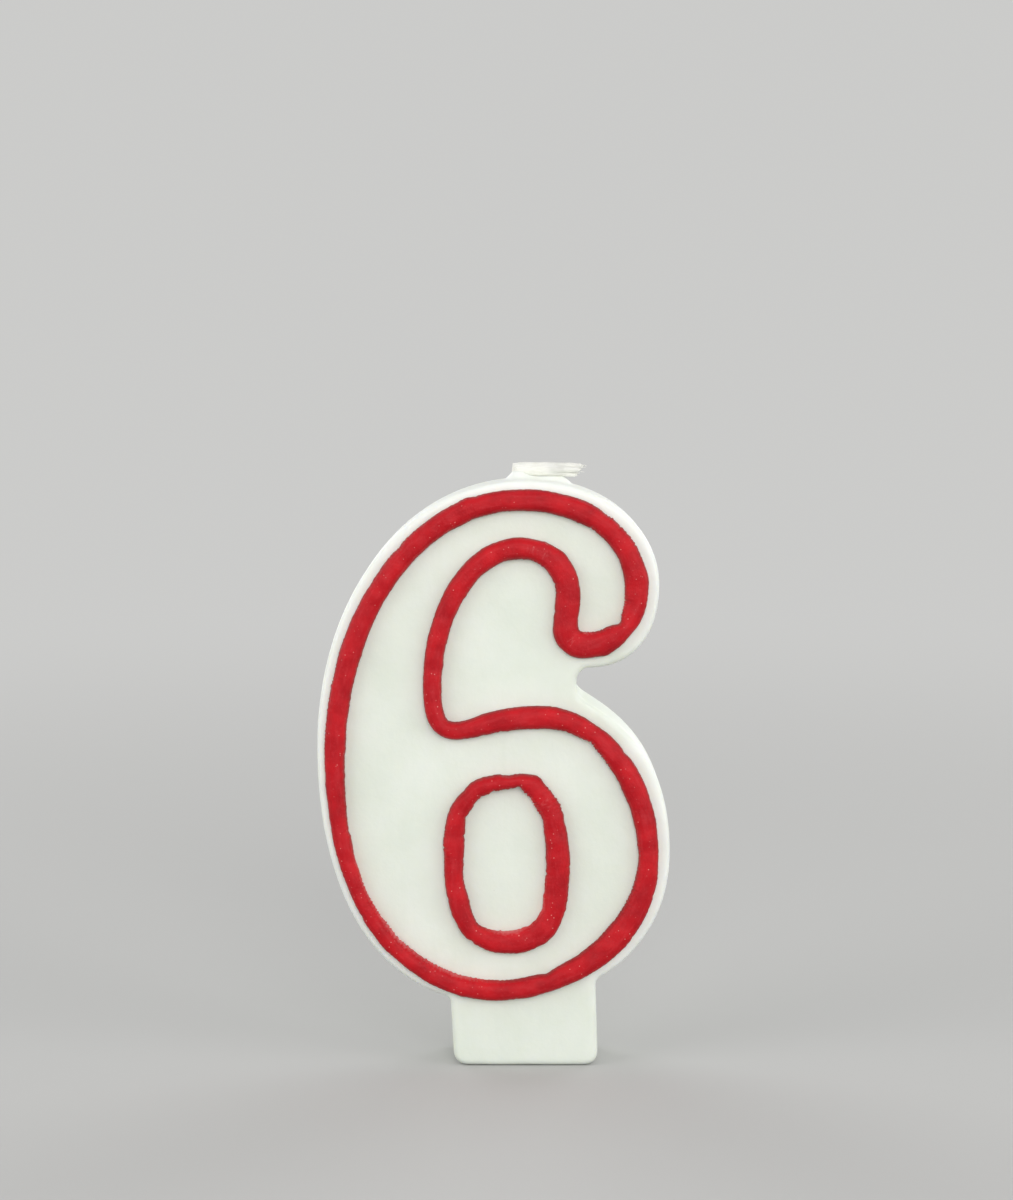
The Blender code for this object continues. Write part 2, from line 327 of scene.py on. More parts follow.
whiteLook = {
    "clear": (0.788, 0.841, 0.744),
    "milky": (0.842, 0.886, 0.804),
    # the whiter colour painted on the rim as a highlight
    "rimHighlight": (0.930, 0.965, 0.900),
    "mote": (0.42, 0.40, 0.36),
    "chalk": (0.93, 0.94, 0.90),
    "clouds": {"Broad Scale": 150.0, "Fine Scale": 1400.0},
    "streaks": {"Across": 1.0, "Along": 0.06, "Scale": 1100.0, "Detail": 2.0, "Roughness": 0.5},
    "streakSpan": (0.55, 0.8),
    "streakShow": (0.0, 0.35),
    "motes": {"Scale": 500.0, "Size": 0.080, "Share": 0.12},
    "moteShow": (0.0, 0.5),
    "chalkSpots": {"Scale": 210.0, "Size": 0.10, "Share": 0.07},
    "rimHighlightShow": (0.7, 1.0),
    "roughness": (0.36, 0.50),
    "bumpDepth": 0.00005,
    "bumpStrength": 0.6,
    "scatter": 0.35,
    "scatterTint": (1.0, 0.95, 0.75),
    "scatterDepth": 0.0010,
}


def whiteWax(look):
    material, tree, shader = newMaterial("whiteWax")
    place = addNode(tree, "TexCoord").outputs["Object"]
    cloud = placeGroup(tree, waxCloud, place, look["clouds"])
    streak = placeGroup(tree, drawnStreaks, place, look["streaks"])["Streak"]
    mote = placeGroup(tree, pinSpecks, place, look["motes"])["Mask"]
    chalk = placeGroup(tree, pinSpecks, place, look["chalkSpots"])["Mask"]
    # painted highlight: the rim is blended in patches towards a whiter colour, standing in for the light it
    # catches
    edge = addNode(tree, "Attribute", attribute_name="paintedRimHighlight").outputs["Fac"]
    patchy = stretched(tree, cloud["Cloud"], noiseMiddle, look["rimHighlightShow"])
    rimHighlight = addNode(tree, "Math", {0: edge, 1: patchy}, operation="MULTIPLY").outputs[0]
    colour = layered(tree, look["clear"], (
        (stretched(tree, cloud["Cloud"], noiseMiddle), look["milky"]),
        (stretched(tree, streak, look["streakSpan"], look["streakShow"]), look["clear"]),
        (rimHighlight, look["rimHighlight"]),
        (chalk, look["chalk"]),
        (stretched(tree, mote, (0.0, 1.0), look["moteShow"]), look["mote"]),
    ))
    finishSurface(tree, shader, look, colour, cloud["Grain"], cloud["Height"])
    shader["IOR"].default_value = waxIor
    return material


# Red wax: deep, with painted shade on the flanks, streaks along the bead, fine grain and pale pin specks, and
# white showing where it is thin, which on the bottom strokes' upward inner flanks is also a painted sheen

redLook = {
    # edge: painted shade, the darker red laid on the bead's flanks
    "edge": (0.200, 0.0025, 0.0070),
    "deep": (0.405, 0.0040, 0.0100),
    "bright": (0.600, 0.0095, 0.0165),
    "bloom": (0.620, 0.045, 0.056),
    "speck": (0.88, 0.50, 0.45),
    # bare: white showing where the red film is thin; on the upward inner flanks of the bottom strokes it is
    # also a painted sheen
    "bareAndSheen": (0.66, 0.13, 0.135),
    "clouds": {"Broad Scale": 330.0, "Fine Scale": 2600.0},
    "streaks": {"Across": 1.0, "Along": 7.0, "Scale": 320.0, "Detail": 3.0, "Roughness": 0.6},
    "streakSpan": (0.5, 0.85),
    "streakShow": (0.0, 0.4),
    "grainSpan": (0.55, 0.8),
    "grainShow": (0.0, 0.35),
    "flankShadeSpan": (0.25, 1.0),
    "flankShadeShow": (0.0, 0.7),
    "specks": {"Scale": 1600.0, "Size": 0.21, "Share": 0.85},
    "speckSpan": (0.40, 0.56),
    "speckShow": (0.05, 0.65),
    "bristles": {"Across": 1.0, "Along": 0.7, "Scale": 3000.0, "Detail": 3.0, "Roughness": 0.7},
    "bareAndSheenSpan": (-0.20, 0.45),
    "roughness": (0.42, 0.58),
    "bumpDepth": 0.00009,
    "bumpStrength": 0.7,
    "scatter": 0.10,
    "scatterTint": (1.0, 0.15, 0.12),
    "scatterDepth": 0.0005,
    "gloss": 0.24,
}


def redWax(look):
    material, tree, shader = newMaterial("redWax")
    place = addNode(tree, "TexCoord").outputs["Object"]
    along = addNode(tree, "Attribute", attribute_name="alongBead").outputs["Vector"]
    thin = addNode(tree, "Attribute", attribute_name="thinFilmAndSheen").outputs["Fac"]
    flankShade = addNode(tree, "Attribute", attribute_name="flankShade").outputs["Fac"]
    cloud = placeGroup(tree, waxCloud, place, look["clouds"])
    streak = placeGroup(tree, drawnStreaks, along, look["streaks"])["Streak"]
    bristle = placeGroup(tree, drawnStreaks, along, look["bristles"])["Streak"]
    # the thin-film mask broken by bristle streaks; on the bottom strokes it also paints a sheen
    wornAndSheen = addNode(tree, "Math", {0: thin, 1: bristle}, operation="SUBTRACT").outputs[0]
    speck = placeGroup(tree, pinSpecks, place, look["specks"])["Mask"]
    strewn = stretched(tree, cloud["Cloud"], look["speckSpan"], look["speckShow"])
    speck = addNode(tree, "Math", {0: speck, 1: strewn}, operation="MULTIPLY").outputs[0]
    colour = layered(tree, look["deep"], (
        (stretched(tree, cloud["Cloud"], noiseMiddle), look["bright"]),
        (stretched(tree, streak, look["streakSpan"], look["streakShow"]), look["bloom"]),
        (stretched(tree, cloud["Grain"], look["grainSpan"], look["grainShow"]), look["bloom"]),
        # painted shade: the flanks are blended towards the darker edge red
        (stretched(tree, flankShade, look["flankShadeSpan"], look["flankShadeShow"]), look["edge"]),
        (speck, look["speck"]),
        # white where the film is thin, which on the bottom strokes' upward inner flanks also paints a sheen
        (stretched(tree, wornAndSheen, look["bareAndSheenSpan"]), look["bareAndSheen"]),
    ))
    height = addNode(tree, "Math", {0: streak, 1: cloud["Height"]}, operation="ADD").outputs[0]
    finishSurface(tree, shader, look, colour, cloud["Grain"], height)
    shader["IOR"].default_value = waxIor
    shader["Specular IOR Level"].default_value = look["gloss"]
    return material


# Cotton: bleached yarn stiff with wax

cottonLook = {
    "shade": (0.80, 0.79, 0.72),
    "yarn": (0.93, 0.925, 0.865),
    "clouds": {"Broad Scale": 700.0, "Fine Scale": 4200.0},
    "cloudSpan": (0.4, 0.7),
    "cloudShow": (0.0, 0.6),
    "fibres": {"Across": 9.0, "Along": 1.0, "Scale": 900.0, "Detail": 3.0, "Roughness": 0.6},
    "fibreSpan": (0.3, 0.6),
    "roughness": (0.55, 0.8),
    "bumpDepth": 0.00012,
    "bumpStrength": 0.8,
    "scatter": 0.2,
    "scatterTint": (1.0, 0.95, 0.85),
    "scatterDepth": 0.0008,
}


def waxedCotton(look):
    material, tree, shader = newMaterial("waxedCotton")
    place = addNode(tree, "TexCoord").outputs["Object"]
    along = addNode(tree, "Attribute", attribute_name="alongYarn").outputs["Vector"]
    cloud = placeGroup(tree, waxCloud, place, look["clouds"])
    fibre = placeGroup(tree, drawnStreaks, along, look["fibres"])["Streak"]
    colour = layered(tree, look["shade"], (
        (stretched(tree, fibre, look["fibreSpan"]), look["yarn"]),
        (stretched(tree, cloud["Cloud"], look["cloudSpan"], look["cloudShow"]), look["yarn"]),
    ))
    finishSurface(tree, shader, look, colour, cloud["Grain"], fibre)
    return material


whiteMaterial = whiteWax(whiteLook)
redMaterial = redWax(redLook)
cottonMaterial = waxedCotton(cottonLook)
print("materials made")


# White wax body: a rounded edge carried round the outline, with a front and a back that ripple a little

bodyShape = {
    "knots": [
        (0.0, 72.8, right, 0.60, 0.60),
        (16.3, 59.9, down, 0.55, 0.55),
        (7.7, 49.85, left, 0.68, 0.55),
        (6.2, 48.0, down, 0.55, 0.62),
        (7.6, 45.65, downhill, 0.42, 0.20),
        (17.8, 26.8, down, 0.68, 0.60),
        (-3.6, 7.9, left, 0.60, 0.70),
        (-25.7, 39.8, up, 0.55, 0.55),
    ],
    "footRoot": (8.65, -9.35),
    "footBase": (9.0, -8.9),
    "footFillet": 0.8,
    "footCorner": 1.9,
    "outlineSteps": 1000,
    "frontRadius": 1.0,
    "frontSquareness": 2.8,
    "rimWander": (0.10, 3, 40, 5),  # size, fewest and most waves, seed
    "backRadius": 0.6,
    "land": 0.10,
    "edgeRows": 12,
    "sideRows": 26,
    "frontMesh": 0.5,
    "backMesh": 0.9,
    # painted rim highlight: how far in from the edge it fades, how far up the side from the back, and where
    # it is left off
    "rimHighlightSpan": (1.6, 2.6),
    "backFade": 3.0,
    "unhighlightedSpots": [(0.0, 1.0, 15.0), (8.0, 46.5, 9.0)],  # x, z and reach of places left without the painted rim highlight
    "unhighlightedCore": 0.6,  # the share of the reach that stays wholly without the painted highlight
    "skin": 1.0,
    "ripple": 0.045,
    "rippleLevel": 0.9,
    "rippleWaves": [(0.7, 11.0, 21), (0.25, 3.2, 22)],
    "dish": 0.22,
    "dishCentre": (-4.0, 36.0),
    "dishReach": (21.0, 34.0),
    "dishSlope": 0.8,
    "backRipple": 0.03,
    "backLevel": 1.5,
    "backWaves": [(1.0, 7.0, 31)],
    "crownRise": (70.0, 71.5),
    "moundHeight": 1.15,
    "moundReach": (0.95, 1.3),
    "ridgeStart": (-2.2, -0.6),  # from the wick's axis
    "ridgeEnd": (4.3, 6.1),
    "ridgeReach": 1.25,
    "ridgeOverlap": 0.05,
}


def softTurn(before, corner, after, leg, steps=12):
    # a corner rounded off by a quadratic curve that starts and ends one leg from it
    back, on = before - corner, after - corner
    start = corner + leg * back / np.linalg.norm(back)
    end = corner + leg * on / np.linalg.norm(on)
    t = np.linspace(0, 1, steps)[:, None]
    return (1 - t) ** 2 * start + 2 * (1 - t) * t * corner + t**2 * end


def bodyOutline(shape):
    # the figure's outer curve, with the underside broken by the foot, a leaning block with soft corners; the
    # underside is the two legs before the last
    loop = curveLoop(shape["knots"])
    under = loop[-3 * legSteps:-legSteps]

    def onUnder(x):
        return np.array((x, np.interp(x, under[::-1, 0], under[::-1, 1])))

    fillet, corner = shape["footFillet"], shape["footCorner"]
    clear = 1.2 * fillet  # the curve stops a little short of the fillet
    rootRight, rootLeft = (onUnder(x) for x in shape["footRoot"])
    baseRight, baseLeft = (np.array((x, 0.0)) for x in shape["footBase"])
    beyondRight, beyondLeft = onUnder(rootRight[0] + fillet), onUnder(rootLeft[0] - fillet)
    outline = np.concatenate([
        loop[:-3 * legSteps],
        under[under[:, 0] > rootRight[0] + clear],
        softTurn(beyondRight, rootRight, baseRight, fillet),
        softTurn(rootRight, baseRight, baseLeft, corner),
        softTurn(baseRight, baseLeft, rootLeft, corner),
        softTurn(baseLeft, rootLeft, beyondLeft, fillet),
        under[under[:, 0] < rootLeft[0] - clear],
        loop[-legSteps:],
    ])
    return evenSteps(outline, shape["outlineSteps"])[0]


def innerGrid(ring, spacing):
    # points of a staggered grid that lie inside the ring and not too near it
    low, high = ring.min(axis=0), ring.max(axis=0)
    rowStep = 0.87 * spacing  # about the height of a triangle with equal sides
    x, z = np.meshgrid(np.arange(low[0], high[0], spacing), np.arange(low[1], high[1], rowStep))
    x = x + 0.5 * spacing * (np.arange(len(x)) % 2)[:, None]
    grid = np.stack([x.ravel(), z.ravel()], axis=1)
    following = np.roll(ring, -1, axis=0)
    rises = (ring[:, 1] > grid[:, 1:]) != (following[:, 1] > grid[:, 1:])
    slope = (following[:, 0] - ring[:, 0]) / (following[:, 1] - ring[:, 1] + 1e-12)
    crossing = ring[:, 0] + (grid[:, 1:] - ring[:, 1]) * slope
    inside = np.sum(rises & (grid[:, :1] < crossing), axis=1) % 2 == 1
    grid = grid[inside]
    gap = np.hypot(grid[:, :1] - ring[:, 0], grid[:, 1:] - ring[:, 1]).min(axis=1)
    return grid[gap > 0.5 * spacing]


def filledRing(ring, spacing):
    # triangles that fill the ring through the points of its inner grid; the ring's own points come first
    flat = np.concatenate([ring, innerGrid(ring, spacing)])
    rim = np.arange(len(ring)).tolist()
    insideOnly, closest = 1, 1e-6
    _, _, faces, origin, _, _ = delaunay_2d_cdt(flat.tolist(), [], [rim], insideOnly, closest)
    return flat[len(ring):], np.array(origin)[:, 0][np.array(faces)]


def bodySurface(shape):
    # the section runs from the back, round its edge, along the side and round the front edge, where a power
    # of the turn's sine and cosine keeps the rim flatter than a circle; the painted rim highlight fades with
    # the way in from the edge
    outline = bodyOutline(shape)
    count = len(outline)
    share = np.arange(count) / count
    arc = np.linspace(0, np.pi / 2, shape["edgeRows"])
    power = 2 / shape["frontSquareness"]
    frontIn, frontUp = np.abs(np.cos(arc)) ** power, np.sin(arc) ** power
    uneven, *waves = shape["rimWander"]
    frontRadius = shape["frontRadius"] * (1 + uneven * wander(share, *waves))[:, None]
    backRadius = shape["backRadius"] * np.ones((count, 1))
    side = np.linspace(0, 1, shape["sideRows"])[1:-1]
    sideLow, sideHigh = backFace - backRadius, frontFace + frontRadius
    land = shape["land"]
    step = np.concatenate([
        -backRadius - land,
        backRadius * (np.sin(arc) - 1),
        np.zeros((count, side.size)),
        frontRadius * (frontIn - 1),
        -frontRadius - land,
    ], axis=1)
    depth = np.concatenate([
        np.full((count, 1), backFace),
        backFace - backRadius * (1 - np.cos(arc)),
        sideLow + (sideHigh - sideLow) * side,
        frontFace + frontRadius * (1 - frontUp),
        np.full((count, 1), frontFace),
    ], axis=1)
    spots = outline[:, None, :] + outward(outline)[:, None, :] * step[:, :, None]
    band = np.stack([spots[..., 0], depth, spots[..., 1]], axis=-1)
    columns = band.shape[1]
    frontFill, frontFaces = filledRing(band[:, -1, [0, 2]], shape["frontMesh"])
    backFill, backFaces = filledRing(band[:, 0, [0, 2]], shape["backMesh"])
    points = np.concatenate([
        band.reshape(-1, 3),
        np.insert(frontFill, 1, frontFace, axis=1),
        np.insert(backFill, 1, backFace, axis=1),
    ])
    ringBack = np.arange(count) * columns
    ringFront = ringBack + columns - 1
    frontStart = band.size // 3
    backStart = frontStart + len(frontFill)
    frontIndex = np.concatenate([ringFront, frontStart + np.arange(len(frontFill))])
    backIndex = np.concatenate([ringBack, backStart + np.arange(len(backFill))])
    faces = [gridFaces(count, columns, True, False), frontIndex[frontFaces], backIndex[backFaces][:, ::-1]]
    wayIn = np.hypot(frontFill[:, :1] - outline[:, 0], frontFill[:, 1:] - outline[:, 1]).min(axis=1)
    # painted highlight mask: the sides, the rounded front edge and a strip of the front next to it are
    # whitened
    bloom = np.concatenate([
        easeIn(backFace - depth, 0, shape["backFade"]).ravel(),
        1 - easeIn(wayIn, *shape["rimHighlightSpan"]),
        np.zeros(len(backFill)),
    ])
    # the painted rim highlight is left off the foot and the notch
    for x, z, reach in shape["unhighlightedSpots"]:
        bloom *= easeIn(np.hypot(points[:, 0] - x, points[:, 2] - z), shape["unhighlightedCore"] * reach, reach)
    return points, faces, {"paintedRimHighlight": bloom}


def ripenBody(points, shape):
    # the cast surface: swells ripple the front, the back sinks in an oval dish, and on the crown wax climbs
    # the wick in a bell-shaped mound and fills in under its tail
    x, y, z = points.T
    flat = points[:, [0, 2]]
    onFront = easeIn(-y, -frontFace - shape["skin"], -frontFace)
    onBack = easeIn(y, backFace - shape["skin"], backFace)
    rippled = shape["ripple"] * (shape["rippleLevel"] + swells(flat, shape["rippleWaves"]))
    fromCentre = (flat - shape["dishCentre"]) / shape["dishReach"]
    middle = np.clip(1 - np.sum(fromCentre**2, axis=1), 0, 1)
    sunk = shape["dish"] * easeIn(middle, 0, shape["dishSlope"])
    sunk = sunk + shape["backRipple"] * (shape["backLevel"] + swells(flat, shape["backWaves"]))
    y = y + onFront * rippled - onBack * np.maximum(sunk, 0)
    crown = easeIn(z, *shape["crownRise"])
    under = easeIn(x - wickAxis, *shape["ridgeStart"]) * (1 - easeIn(x, *shape["ridgeEnd"]))
    tailBottom = wickTop - 2 * wickRadius
    fill = np.maximum(tailBottom + shape["ridgeOverlap"] - z, 0) * np.exp(-((y / shape["ridgeReach"]) ** 4))
    reachX, reachY = shape["moundReach"]
    mound = np.exp(-(((x - wickAxis) / reachX) ** 2) - (y / reachY) ** 2)
    z = z + crown * (under * fill + shape["moundHeight"] * mound)
    return np.stack([x, y, z], axis=1)


points, faces, marks = bodySurface(bodyShape)
points = ripenBody(points, bodyShape)
makePiece("waxBody", points, faces, whiteMaterial, "wax_body", marks)


# Red beads: a dome carried along the piped line, wider and narrower as the hand moved, with ragged edges
# Widths go by the share of the way round; touches, ragged and thin places are x, z, side, size and reach

beadShape = {
    "across": 30,
    "squareness": 2.7,
    "sink": 0.20,
    "crestLevel": 0.955,
    "crestWander": 0.035,
    "widthBlur": 0.008,
    "thinPower": 3,
    # flank power and fade shape the painted shade at the bead's edges
    "flankShadePower": 5,
    "flankShadeFade": 1.8,
    "lumps": [(0.022, 3.4, 71), (0.006, 1.1, 72)],
    "lumpRise": (0.2, 1.0),
}

figureShape = {
    "knots": [
        (-0.8, 70.5, right, 0.52, 0.69),
        (13.5, 59.3, down, 0.49, 0.56),
        (7.0, 52.7, left, 0.66, 0.52),
        (4.8, 54.8, up, 0.53, 0.52),
        (5.1, 58.8, up, 0.57, 0.52),
        (-0.8, 64.6, left, 0.65, 0.54),
        (-11.5, 47.4, down, 0.56, 0.64),
        (-8.4, 42.2, right, 0.83, 0.25),
        (2.0, 43.8, right, 0.63, 0.55),
        (15.1, 26.4, down, 0.53, 0.59),
        (-3.7, 9.65, left, 0.49, 0.30),
        (-23.5, 38.0, up, 0.85, 0.60),
    ],
    "widths": [
        (0.00, 2.7), (0.03, 2.8), (0.05, 2.6), (0.09, 2.7), (0.115, 2.6), (0.14, 3.4), (0.16, 3.0),
        (0.19, 3.0), (0.21, 2.6), (0.24, 2.6), (0.30, 2.3), (0.34, 2.2), (0.37, 2.7), (0.39, 2.9),
        (0.42, 2.4), (0.46, 2.9), (0.50, 2.5), (0.55, 3.2), (0.60, 2.5), (0.65, 2.5), (0.70, 2.2),
        (0.73, 2.0), (0.77, 2.2), (0.82, 2.6), (0.87, 2.7), (0.92, 2.5), (0.97, 2.7),
    ],
    "touches": [
        (-7.3, 70.7, "outer", 0.10, 0.4), (-2.6, 71.6, "outer", -0.12, 3.0),
        (3.9, 71.2, "outer", -0.16, 1.2), (9.6, 68.6, "outer", -0.10, 0.5),
        (11.3, 67.3, "outer", -0.08, 0.4), (13.4, 64.4, "outer", 0.05, 1.2),
        (14.6, 60.7, "outer", 0.22, 1.4), (13.0, 53.8, "outer", -0.26, 1.2),
        (9.8, 51.5, "outer", 0.14, 0.5), (12.3, 59.5, "inner", 0.16, 1.8),
        (11.5, 55.5, "inner", -0.46, 0.8), (10.0, 54.6, "inner", 0.12, 0.9),
        (4.4, 63.9, "inner", 0.15, 0.6), (-8.6, 43.2, "outer", -0.12, 1.2),
        (7.9, 40.7, "inner", -0.30, 0.8), (11.8, 39.1, "outer", -0.15, 0.6),
        (2.6, 11.7, "inner", -0.26, 0.9), (-15.0, 12.7, "outer", -0.16, 2.5),
        (-19.4, 59.7, "outer", -0.17, 0.7), (-15.7, 64.7, "outer", -0.15, 0.6),
    ],
    "ragged": [
        (12.0, 57.6, "inner", 0.10, 2.0), (8.4, 54.4, "inner", 0.06, 1.6), (9.2, 39.6, "inner", 0.09, 2.4),
        (-17.0, 17.0, "inner", 0.09, 7.0), (-8.0, 11.0, "inner", 0.06, 6.0),
        (-22.3, 45.0, "outer", 0.06, 6.0), (-14.0, 65.0, "outer", 0.05, 5.0),
        (11.0, 67.0, "outer", 0.07, 4.0), (14.0, 20.0, "inner", 0.06, 5.0),
    ],
    # thin places; the inner ones on the bottom strokes also stand in for a painted sheen on their upward
    # flanks
    "thin": [
        (-20.6, 24.0, "inner", 0.50, 4.0), (-16.0, 17.0, "inner", 0.85, 4.5),
        (-9.0, 12.0, "inner", 0.70, 5.0), (6.0, 54.0, "crown", 0.32, 1.1), (0.8, 65.5, "crown", 0.36, 1.1),
        (2.9, 64.5, "crown", 0.34, 0.8), (11.9, 57.8, "inner", 0.50, 1.6), (7.4, 54.2, "inner", 0.55, 1.2),
    ],
    "steps": 2300,
    "wander": 0.05,
    "fray": 0.020,
    "nicks": (44, 0.055, 0.26),
    "seed": 3,
}

counterShape = {
    "knots": [
        (-1.2, 35.9, right, 0.71, 0.45),
        (3.9, 26.3, down, 0.68, 0.65),
        (-2.6, 15.75, left, 0.90, 0.65),
        (-9.0, 27.3, up, 0.78, 0.69),
    ],
    "widths": [
        (0.00, 1.9), (0.06, 2.6), (0.12, 2.7), (0.25, 2.9), (0.40, 3.0), (0.50, 2.9), (0.57, 2.3),
        (0.65, 2.4), (0.74, 2.3), (0.80, 2.6), (0.86, 2.2), (0.93, 2.2), (0.97, 1.9),
    ],
    "touches": [
        (-2.1, 36.5, "outer", -0.30, 1.0), (1.4, 36.3, "outer", 0.36, 0.7), (4.1, 32.8, "outer", 0.20, 0.8),
        (-7.4, 34.9, "outer", -0.25, 0.6), (-10.1, 29.8, "outer", -0.14, 1.2),
        (5.2, 24.8, "outer", 0.10, 3.0), (-5.7, 15.1, "outer", -0.20, 0.8),
        (-8.6, 18.2, "outer", -0.14, 0.8), (-7.4, 31.3, "inner", -0.18, 0.4),
        (-6.8, 32.6, "inner", 0.14, 0.7), (-7.9, 27.9, "inner", 0.22, 2.2), (-7.3, 21.0, "inner", 0.24, 1.2),
        (-3.2, 17.1, "inner", -0.12, 2.4), (0.3, 17.7, "inner", -0.18, 0.5), (1.9, 20.0, "inner", -0.22, 0.8),
        (-0.9, 34.9, "inner", -0.40, 0.6), (1.9, 31.4, "inner", -0.12, 1.0),
    ],
    "ragged": [
        (0.5, 33.1, "inner", 0.12, 2.2), (-4.0, 34.4, "inner", 0.05, 2.0), (-10.0, 28.5, "outer", 0.06, 1.6),
        (3.4, 33.6, "outer", 0.07, 1.6), (-2.0, 36.5, "outer", 0.05, 2.0),
    ],
    # thin places; the inner ones at the bottom also stand in for a painted sheen on the upward flank
    "thin": [
        (-2.0, 17.0, "inner", 0.85, 3.2), (1.8, 20.5, "inner", 0.55, 3.0), (0.5, 33.1, "inner", 0.45, 1.6),
        (2.6, 33.4, "crown", 0.36, 1.2),
    ],
    "steps": 660,
    "wander": 0.07,
    "fray": 0.026,
    "nicks": (20, 0.075, 0.28),
    "seed": 9,
}


def handMarks(line, length, marks, side):
    # marks of one side added up round the line: each is a bell curve as tall as its size and as
    # long as its reach, at the point of the line nearest to its place
    share = np.arange(len(line)) / len(line)
    total = np.zeros(len(line))
    for x, z, markSide, size, reach in marks:
        if markSide == side:
            nearest = np.argmin(np.hypot(line[:, 0] - x, line[:, 1] - z))
            total += size * np.exp(-((aroundGap(share, share[nearest]) * length / reach) ** 2))
    return total


def beadSurface(shape, shared):
    # across the bead an angle runs from the outer edge, over the crown, to the inner edge: a power of its
    # cosine gives the reach to that side and the same power of its sine the height, squarer than a circle
    line, length = evenSteps(curveLoop(shape["knots"]), shape["steps"])
    share = np.arange(len(line)) / len(line)
    half = throughMarks(share, shape["widths"], shared["widthBlur"]) / 2
    seed = shape["seed"]
    waves = int(length)  # so many waves round the line are about 1 mm long each

    def edge(side, turn):
        # half the width with a slow drift, a fine fray, chance nicks, torn stretches and the hand's touches,
        # where each chance part has a seed of its own
        drift = shape["wander"] * wander(share, 3, waves // 3, seed + turn)
        fray = shape["fray"] * wander(share, waves // 3, waves * 2, seed + turn + 20)
        bites = nicks(share, length, *shape["nicks"], seed + turn + 40)
        torn = handMarks(line, length, shape["ragged"], side)
        torn = torn * wander(share, waves, waves * 3, seed + turn + 80)
        return half + drift + fray + bites + torn + handMarks(line, length, shape["touches"], side)

    angle = np.linspace(0, np.pi, shared["across"])
    power = 2 / shared["squareness"]
    reach = np.sign(np.cos(angle)) * np.abs(np.cos(angle)) ** power
    rise = np.abs(np.sin(angle)) ** power
    outer, inner = edge("outer", 1)[:, None], edge("inner", 2)[:, None]
    sideways = np.where(reach > 0, reach * outer, reach * inner)
    level = shared["crestLevel"] + shared["crestWander"] * wander(share, 3, waves // 2, seed + 60)
    crest = (beadCrest + shared["sink"]) * level[:, None]
    spots = line[:, None, :] + outward(line)[:, None, :] * sideways[:, :, None]
    depth = frontFace + shared["sink"] - crest * rise
    points = np.stack([spots[..., 0], depth, spots[..., 1]], axis=-1)
    turn = 2 * np.pi * share[:, None] * np.ones_like(sideways)
    radius = length / (2 * np.pi)
    wound = np.stack([radius * np.cos(turn), radius * np.sin(turn), angle * half[:, None]], axis=-1) * mm
    weights = {
        "outer": np.clip(reach, 0, 1) ** shared["thinPower"],
        "inner": np.clip(-reach, 0, 1) ** shared["thinPower"],
        "crown": np.sqrt(1 - np.abs(reach)),
    }
    # thin places show white through the red; on the bottom strokes' upward inner flanks they also paint a
    # sheen
    thin = sum(
        handMarks(line, length, shape["thin"], side)[:, None] * weight for side, weight in weights.items())
    # painted shade mask: the bead darkens towards its edges, less where the film is thin
    flankShade = np.abs(reach) ** shared["flankShadePower"] * np.clip(1 - shared["flankShadeFade"] * thin, 0, 1)
    marks = {"alongBead": wound.reshape(-1, 3), "thinFilmAndSheen": thin.ravel(), "flankShade": flankShade.ravel()}
    return points.reshape(-1, 3), [gridFaces(*sideways.shape, True, True)], marks


def lumpBead(points, shared):
    # slow swellings of the hand-piped surface, square to the front
    crown = easeIn(frontFace - points[:, 1], *shared["lumpRise"])
    points = points.copy()
    points[:, 1] += swells(points, shared["lumps"]) * crown
    points[:, 1] = np.maximum(points[:, 1], frontFace - beadCrest)
    return points


points, faces, marks = beadSurface(figureShape, beadShape)
points = lumpBead(points, beadShape)
makePiece("figureBead", points, faces, redMaterial, "figure_bead", marks)
points, faces, marks = beadSurface(counterShape, beadShape)
points = lumpBead(points, beadShape)
makePiece("counterBead", points, faces, redMaterial, "counter_bead", marks)


# Wick: waxed yarn up the middle of the candle, folded hard over the crown, with a frayed end

wickShape = {
    "innerGap": 0.12,
    "square": 0.75,
    "tail": 5.2,
    "closeRun": 4.0,
    "rows": (12, 16, 28, 60),
    "around": 40,
    "plies": 5,
    "groove": 0.05,
    "openGroove": 0.40,
    "grooveSharpness": 1.5,
    "openRun": (2.6, 0.2),  # where the grooves start to open and are open, before the tail's end
    "pinch": 0.45,
    "pinchRun": 0.7,
    "uneven": 0.02,
    "unevenWaves": (6, 14, 5),  # fewest and most waves round the section, seed
    "unevenTurn": 2.1,
    "strandEnds": (6.8, 6.3, 6.4, 6.6, 7.1),
    "strandRadius": 0.42,
    "strandInset": 0.02,
    "strandRows": 26,
    "strandSides": 12,
    "strandTaper": 0.5,
    "bluntSlope": 9,  # how fast a strand's radius falls at its tip, and the share left at the end
    "bluntEnd": 0.35,
    "strandSway": 0.10,
    "strandSplay": 0.12,
    "droop": 0.28,
    "fibres": 26,
    "fibreRadius": 0.05,
    "fibreSides": 5,
    "fibreTaper": 0.6,
    "fibreSpread": 0.375,
    "fibreFlare": 1.5,
    "fibreRoots": (0.5, 1.6),
    "fibreTips": (0.0, 0.45),
    "fibreSway": 0.12,
    "fibreDroop": 0.12,
    "seed": 14,
}


